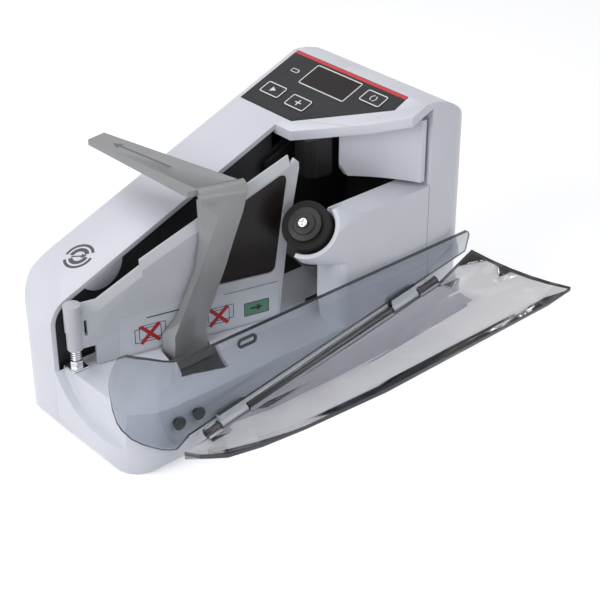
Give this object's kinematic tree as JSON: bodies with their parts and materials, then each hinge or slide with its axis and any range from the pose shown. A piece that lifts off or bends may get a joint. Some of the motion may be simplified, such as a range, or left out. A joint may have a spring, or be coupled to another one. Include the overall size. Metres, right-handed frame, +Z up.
{
  "type": "banknote counting machine",
  "caption": "Hand-held banknote counter with a sloping spine, hinged pressure plate, sliding note arm, slanted feed roller, keypad with display, and a clear guard with a folding tray.",
  "frame": {"origin": "centre of the machine's flat underside, at table level", "axes": "+X toward the display end, +Y toward the back, +Z up"},
  "size_m": [0.2136, 0.1444, 0.12],
  "materials": {
    "white_shell": "semi-gloss",
    "base_plastic": "satin",
    "screw_steel": "semi-gloss",
    "foot_rubber": "semi-gloss",
    "recess_black": "satin",
    "tyre_rubber": "semi-gloss",
    "hub_black": "satin",
    "shaft_steel": "semi-gloss",
    "bush_bronze": "semi-gloss",
    "gear_nylon": "satin",
    "pinion_brass": "semi-gloss",
    "motor_can": "semi-gloss",
    "case_black": "satin",
    "sensor_black": "satin",
    "overlay_charcoal": "semi-gloss",
    "display_tint": "semi-gloss",
    "module_black": "satin",
    "membrane_film": "satin",
    "dome_steel": "semi-gloss",
    "board_green": "satin",
    "plate_white": "semi-gloss",
    "window_dark": "semi-gloss",
    "label_paper": "semi-gloss",
    "bracket_zinc": "semi-gloss",
    "spring_steel": "semi-gloss",
    "arm_grey": "satin",
    "clear_smoke": "semi-gloss",
    "rod_dark": "satin",
    "cell_wrap": "semi-gloss"
  },
  "bodies": {
    "machine": {"rear_shell": "white_shell", "front_shell": "white_shell", "base_plate": "base_plastic", "case_screws": "screw_steel", "foot_pads": "foot_rubber", "recess_wall": "recess_black", "feed_liner": "recess_black", "roller_cover": "white_shell", "shaft_bushes": "bush_bronze", "motor": "motor_can", "motor_screws": "screw_steel", "gear_case": "case_black", "sensor_block": "sensor_black", "control_overlay": "overlay_charcoal", "display_window": "display_tint", "display_module": "module_black", "key_membrane": "membrane_film", "key_domes": "dome_steel", "main_board": "board_green", "display_board": "board_green", "board_parts": "module_black", "board_screws": "screw_steel", "hinge_pin": "shaft_steel", "hinge_bracket": "bracket_zinc", "hinge_spring": "spring_steel", "guide_frame": "case_black", "guide_rods": "shaft_steel", "arm_spring": "spring_steel", "tray_guard": "clear_smoke", "tray_rod": "rod_dark", "guard_pegs": "rod_dark", "battery_box": "case_black", "cells": "cell_wrap", "battery_contacts": "spring_steel", "switch_body": "case_black", "power_inlet": "case_black", "inlet_pin": "spring_steel"},
    "plate": {"pressure_plate": "plate_white", "plate_window": "window_dark", "plate_label": "label_paper"},
    "arm": {"note_arm": "arm_grey", "arm_carriage": "case_black"},
    "roller": {"roller_tyre": "tyre_rubber", "roller_hub": "hub_black", "roller_shaft": "shaft_steel", "roller_screw": "screw_steel", "drive_gear": "gear_nylon"},
    "rotor": {"motor_pinion": "pinion_brass", "motor_shaft": "shaft_steel"},
    "start_button": {"key_start": "overlay_charcoal"},
    "add_button": {"key_add": "overlay_charcoal"},
    "clear_button": {"key_clear": "overlay_charcoal"},
    "switch_slider": {"switch_knob": "case_black"},
    "flap": {"tray_flap": "clear_smoke"},
    "rear_door": {"battery_door": "white_shell"}
  },
  "joints": [
    {"name": "plate_swing", "type": "hinge", "parent": "machine", "child": "plate", "pos_m": [-0.0867, 0.0042, 0.045], "axis": [0, 0, 1], "range_deg": [0, 16], "stiffness_Nm_per_rad": 0.02, "springref_deg": -17.19},
    {"name": "arm_slide", "type": "slide", "parent": "machine", "child": "arm", "axis": [-0.2419, -0.9703, 0], "range_m": [0, 0.018], "stiffness_N_per_m": 30, "springref_m": -0.012},
    {"name": "roller_spin", "type": "hinge", "parent": "machine", "child": "roller", "pos_m": [0.0075, -0.0334, 0.0775], "axis": [-0.6851, -0.288, 0.6691], "continuous": true},
    {"name": "motor_spin", "type": "hinge", "parent": "machine", "child": "rotor", "pos_m": [0.0032, -0.02317, 0.0775], "axis": [-0.6851, -0.288, 0.6691], "continuous": true},
    {"name": "start_press", "type": "slide", "parent": "machine", "child": "start_button", "axis": [0.3665, 0, -0.9304], "range_m": [0, 0.0004], "stiffness_N_per_m": 900, "springref_m": -0.0006},
    {"name": "add_press", "type": "slide", "parent": "machine", "child": "add_button", "axis": [0.3665, 0, -0.9304], "range_m": [0, 0.0004], "stiffness_N_per_m": 900, "springref_m": -0.0006},
    {"name": "clear_press", "type": "slide", "parent": "machine", "child": "clear_button", "axis": [0.3665, 0, -0.9304], "range_m": [0, 0.0004], "stiffness_N_per_m": 900, "springref_m": -0.0006},
    {"name": "switch_slide", "type": "slide", "parent": "machine", "child": "switch_slider", "axis": [1, 0, 0], "range_m": [0, 0.003]},
    {"name": "flap_fold", "type": "hinge", "parent": "machine", "child": "flap", "pos_m": [-0.0615, -0.0482, 0.0126], "axis": [-0.986, 0, -0.1668], "range_deg": [0, 35]},
    {"name": "door_swing", "type": "hinge", "parent": "machine", "child": "rear_door", "pos_m": [-0.0215, 0.0429, 0.0082], "axis": [-1, 0, 0], "range_deg": [0, 95]}
  ],
  "couplings": [
    {"joint": "motor_spin", "follows": "roller_spin", "ratio": -2.6667}
  ]
}
